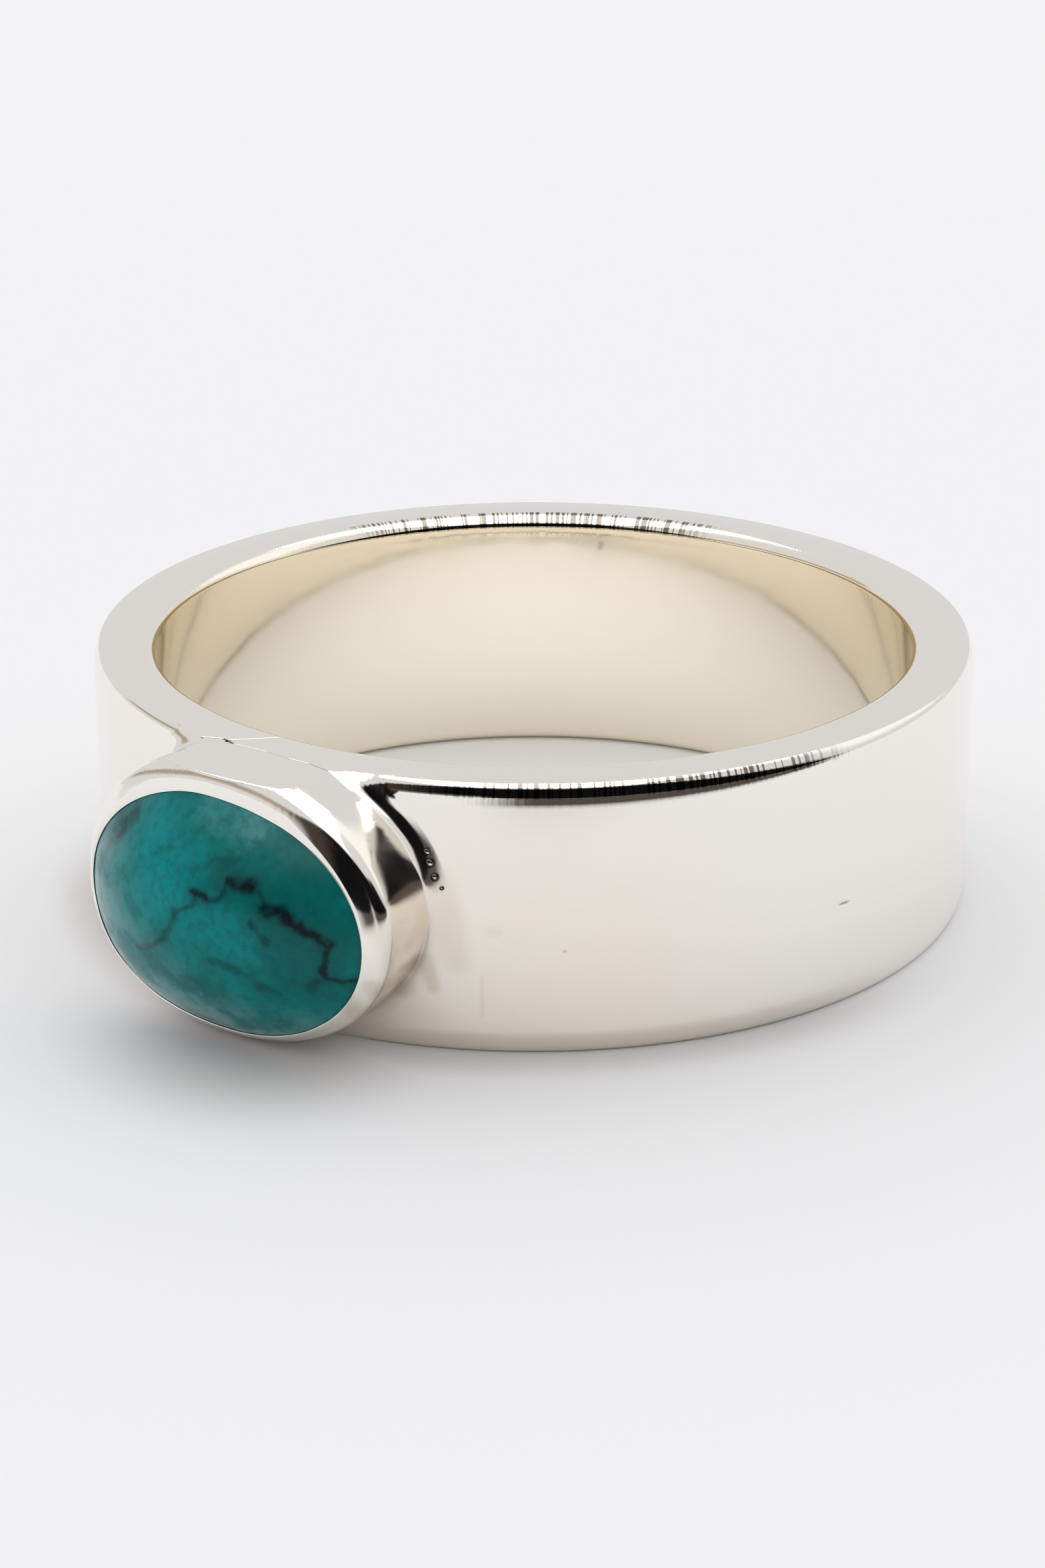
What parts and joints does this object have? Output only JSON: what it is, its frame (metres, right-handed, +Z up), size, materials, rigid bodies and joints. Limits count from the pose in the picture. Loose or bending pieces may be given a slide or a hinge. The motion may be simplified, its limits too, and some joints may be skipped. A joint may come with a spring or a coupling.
{
  "type": "turquoise ring",
  "caption": "Finger ring: a plain flat silver band, with an oval turquoise cabochon in a bezel soldered to it and filed flush with the rims.",
  "frame": {"origin": "centre of the finger hole, at the middle of the band's width", "axes": "+Z along the finger, so that the ring lies on its side with +Z up; -Y towards the stone; +X round the finger"},
  "size_m": [0.0214, 0.0245, 0.0064],
  "materials": {
    "silver": "polished silver, warm white",
    "turquoise": "polished blue-green turquoise with dark matrix veins"
  },
  "bodies": {
    "root": {"silver_band_and_bezel": "silver", "turquoise_cabochon": "turquoise"}
  },
  "joints": []
}
